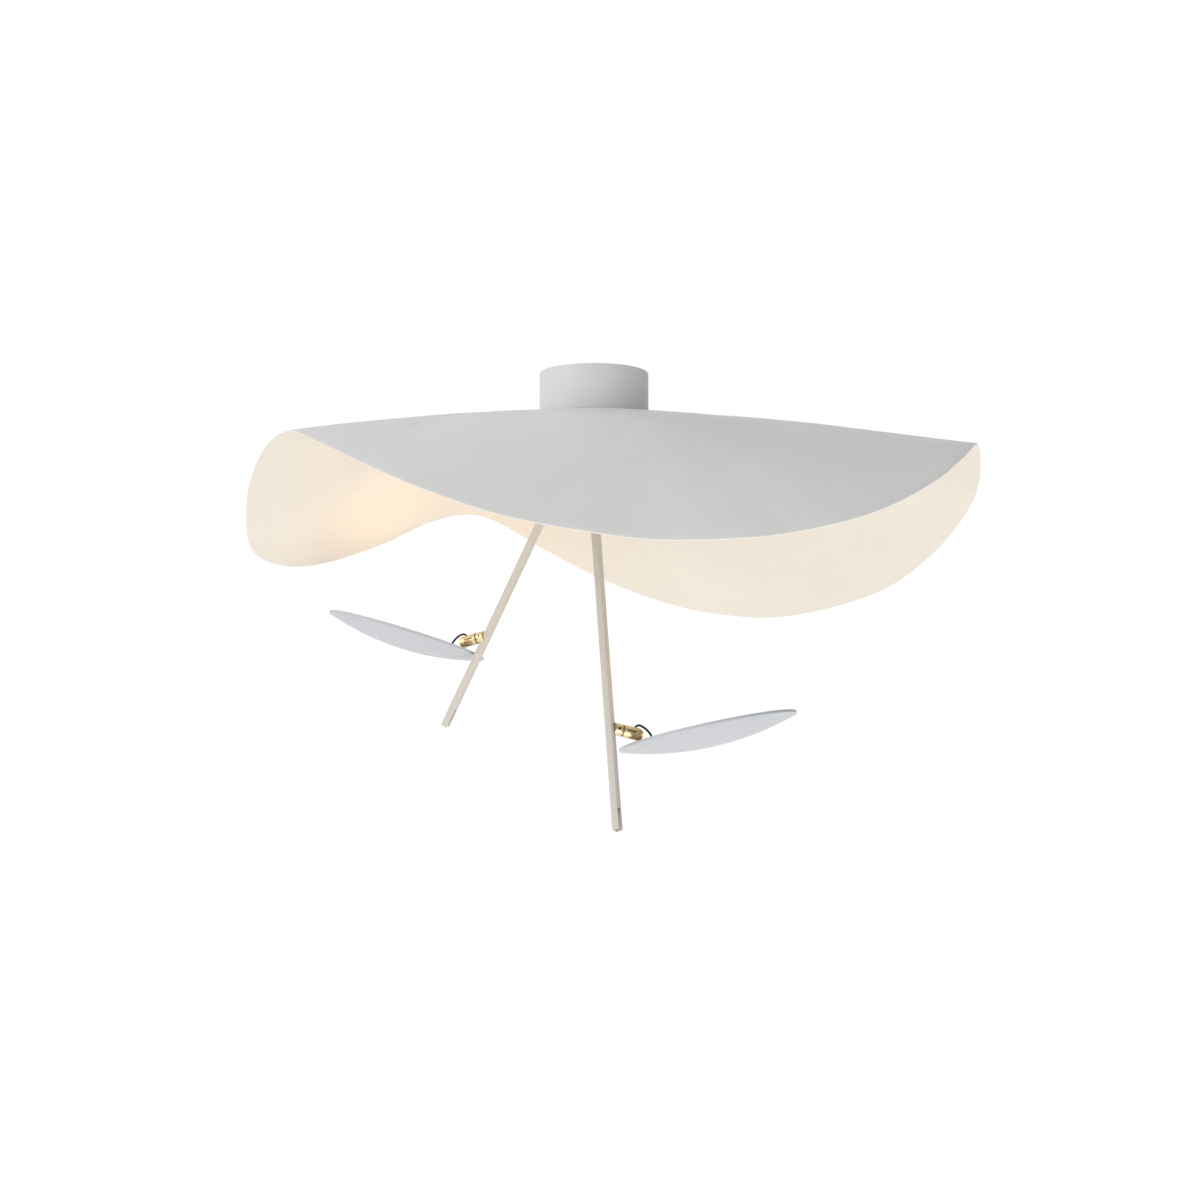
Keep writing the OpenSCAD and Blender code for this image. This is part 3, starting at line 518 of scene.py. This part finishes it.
class Sheet:
    """Upper face of the reflector, by bearing and share of the way out, in millimetres."""

    def __init__(self):
        self.stretch = rim_stretch()
        self.known = {}

    def outline(self, bearing):
        key = round(bearing % 360, 5)
        if key not in self.known:
            self.known[key] = outline_at(key)
        return self.known[key]

    def point(self, bearing, t):
        at = self.outline(bearing)
        c, s = math.cos(math.radians(bearing)), math.sin(math.radians(bearing))
        crest = (SEAT_RADIUS + at[3]) * np.array([c, s])
        rim = at[1] * np.array([self.stretch[0] * c, self.stretch[1] * s])
        plan = crest + t * (rim - crest)
        drop = self.stretch[2] * at[2] * flank(t, max(CREST_SHARE, at[4]))
        return np.array([plan[0], plan[1], SEAT_Z - drop])

    def normal(self, bearing, t):
        along = self.point(bearing + 0.5, t) - self.point(bearing - 0.5, t)
        out = self.point(bearing, t + 0.005) - self.point(bearing, max(0, t - 0.005))
        across = np.cross(out, along)
        return across / np.linalg.norm(across)


def make_reflector(materials):
    """The moulded sheet with a rounded rim, fine enough that no facet shows."""
    sheet = Sheet()
    bearings = bunched(SHEET_BEARINGS)
    half = SHEET / 2
    upper, lower, rounds = [], [], [[] for _ in range(RIM_STEPS + 1)]
    for share in FLAT_ROWS:
        ring = []
        for b in bearings:
            inner = SEAT_HOLE * np.array([math.cos(math.radians(b)), math.sin(math.radians(b)), 0])
            crest = sheet.point(b, 0) - np.array([0, 0, SEAT_Z])
            at = inner + share * (crest - inner)
            ring.append(np.array([at[0], at[1], SEAT_Z]))
        upper.append(ring)
        lower.append([p - np.array([0, 0, SHEET]) for p in ring])
    for t in FLANK_ROWS:
        top = [sheet.point(b, t) for b in bearings]
        upper.append(top)
        lower.append([p - SHEET * sheet.normal(b, t) for p, b in zip(top, bearings)])
    for b in bearings:
        rim = sheet.point(b, 1)
        along = rim - sheet.point(b, 0.99)
        out = along / np.linalg.norm(along)
        up = sheet.normal(b, 0.995)
        centre = rim - half * out - half * up
        for k in range(RIM_STEPS + 1):
            a = math.pi / 2 - math.pi * k / RIM_STEPS
            rounds[k].append(centre + half * (math.cos(a) * out + math.sin(a) * up))
    rows = upper + rounds + lower[::-1]
    columns = len(bearings)
    verts = [MM * p for ring in rows for p in ring]
    faces = grid_faces(len(rows), columns)
    last = (len(rows) - 1) * columns
    for i in range(columns):
        k = (i + 1) % columns
        faces.append((last + i, last + k, k, i))
    piece = new_piece("reflector_sheet", verts, faces, materials["painted_grey"])
    # The inner faces take the warm-tinted copy of the lacquer: painted warm lamp light on the inside
    piece.data.materials.append(materials["inner_painted_lamp_glow"])
    inner_from = (len(upper) + RIM_STEPS // 2) * columns
    for number, polygon in enumerate(piece.data.polygons):
        polygon.material_index = 1 if number >= inner_from else 0
    edit = bmesh.new()
    edit.from_mesh(piece.data)
    bmesh.ops.recalc_face_normals(edit, faces=edit.faces)
    edit.to_mesh(piece.data)
    edit.free()
    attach(piece, "frame")
    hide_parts("reflector")


# Jumpers


def bezier(a, b, c, d, t):
    return (1 - t) ** 3 * a + 3 * t * (1 - t) ** 2 * b + 3 * t * t * (1 - t) * c + t ** 3 * d


def make_jumper(arm, materials):
    """Black lead from the barrel's bush to the disc's."""
    out = Vector((math.cos(math.radians(EXIT_RISE)), 0, math.sin(math.radians(EXIT_RISE))))
    mouth = Vector((EXIT_X, 0, 2)) + EXIT_OUT * out
    foot_z = BUSH_HEIGHT - TRIM_HEIGHT
    start = arm.on_stem(*(mouth + FIXED_GAP * out))
    leave = arm.on_stem(*(mouth + JUMPER_STRAIGHT * out))
    lead = arm.on_stem(*(mouth + JUMPER_REACH * out))
    fall = arm.on_disc(BUSH_X, 0, foot_z + JUMPER_REACH)
    arrive = arm.on_disc(BUSH_X, 0, foot_z + JUMPER_STRAIGHT)
    end = arm.on_disc(BUSH_X, 0, foot_z + FIXED_GAP)
    hang = [
        bezier(leave, lead, fall, arrive, i / JUMPER_STEPS) for i in range(JUMPER_STEPS + 1)
    ]
    route = [start, *hang, end]
    rings = len(route) - 1
    verts = []
    for i, p in enumerate(route):
        along = (route[min(i + 1, rings)] - route[max(i - 1, 0)]).normalized()
        across = along.cross(arm.pin).normalized()
        level = across.cross(along)
        radius = JUMPER_RADIUS * MM
        for k in range(JUMPER_SIDES):
            a = 2 * math.pi * k / JUMPER_SIDES
            verts.append(p + radius * (math.cos(a) * level + math.sin(a) * across))
    faces = grid_faces(rings + 1, JUMPER_SIDES)
    faces.append(tuple(range(JUMPER_SIDES))[::-1])
    faces.append(tuple(range(rings * JUMPER_SIDES, (rings + 1) * JUMPER_SIDES)))
    name = "lead_" + arm.side
    piece = new_piece(name, verts, faces, materials["black_rubber"])
    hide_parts("jumper_" + arm.side)
    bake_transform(piece)


# Room


def make_floor():
    edit = bmesh.new()
    bmesh.ops.create_circle(edit, cap_ends=True, radius=FLOOR_RADIUS, segments=96)
    mesh = bpy.data.meshes.new("floor")
    edit.to_mesh(mesh)
    edit.free()
    floor = bpy.data.objects.new("floor", mesh)
    floor.location = (0, 0, FLOOR_Z)
    scene.collection.objects.link(floor)
    shade = Shade("floor_pale", (0.82, 0.82, 0.82), 0.9, specular=0.1)
    shade.vary_colour(shade.noise(2, 3), 0.99, 1.01)
    shade.shader.inputs["Emission Color"].default_value = WHITE
    shade.shader.inputs["Emission Strength"].default_value = FLOOR_GLOW
    dress(floor, shade.material)


def area_light(name, place, aim, size, power, colour):
    data = bpy.data.lights.new(name, "AREA")
    data.shape = "RECTANGLE"
    data.size = size[0]
    data.size_y = size[1]
    data.energy = power
    data.color = colour
    light = bpy.data.objects.new(name, data)
    light.location = place
    light.rotation_euler = (Vector(aim) - Vector(place)).to_track_quat("-Z", "Y").to_euler()
    scene.collection.objects.link(light)


class Sums:
    """Arithmetic nodes in a node tree."""

    def __init__(self, tree):
        self.tree = tree

    def put(self, socket, value):
        if isinstance(value, (int, float)):
            socket.default_value = value
        else:
            self.tree.links.new(value, socket)

    def sum(self, operation, a, b):
        node = self.tree.nodes.new("ShaderNodeMath")
        node.operation = operation
        self.put(node.inputs[0], a)
        self.put(node.inputs[1], b)
        return node.outputs["Value"]

    def step(self, value, low, high):
        node = self.tree.nodes.new("ShaderNodeMapRange")
        node.interpolation_type = "SMOOTHSTEP"
        node.inputs["From Min"].default_value = low
        node.inputs["From Max"].default_value = high
        self.put(node.inputs["Value"], value)
        return node.outputs["Result"]


def make_dome():
    """White backdrop behind the object, in a soft dome that darkens from left to right."""
    world = bpy.data.worlds.new("studio")
    world.use_nodes = True
    tree = world.node_tree
    sums = Sums(tree)
    place = tree.nodes.new("ShaderNodeTexCoord").outputs["Generated"]
    split = tree.nodes.new("ShaderNodeSeparateXYZ")
    tree.links.new(place, split.inputs["Vector"])
    slope = sums.sum("MULTIPLY", split.outputs["X"], -DOME_SLOPE)
    dome = sums.sum("MAXIMUM", sums.sum("ADD", slope, DOME_MIDDLE), DOME_LEAST)
    behind = sums.step(split.outputs["Y"], BACKDROP_FROM, BACKDROP_FULL)
    lift = sums.sum("MULTIPLY", sums.sum("SUBTRACT", BACKDROP, dome), behind)
    background = tree.nodes["Background"]
    background.inputs["Color"].default_value = WHITE
    tree.links.new(sums.sum("ADD", dome, lift), background.inputs["Strength"])
    scene.world = world


def make_light():
    make_dome()
    for light in LIGHTS:
        area_light(*light)
    scene.view_settings.view_transform = "Standard"
    scene.view_settings.look = "None"


def main():
    make_camera()
    make_floor()
    make_light()
    materials = make_materials()
    slots = {row["node"]: row["material_slot"] for row in frame["record"]["subparts"]}
    for name, obj in nodes.items():
        dress(obj, materials[slots[name]])
    soft = list(SOFT_FRAME.items())
    for name, width in SOFT_SIDES.items():
        soft += [(f"{name}_{arm.side}", width) for arm in ARMS]
    for name, width in soft:
        soften(name, width, materials[slots[name]])
    make_reflector(materials)
    for arm in ARMS:
        make_lens(arm, materials)
        make_jumper(arm, materials)


main()
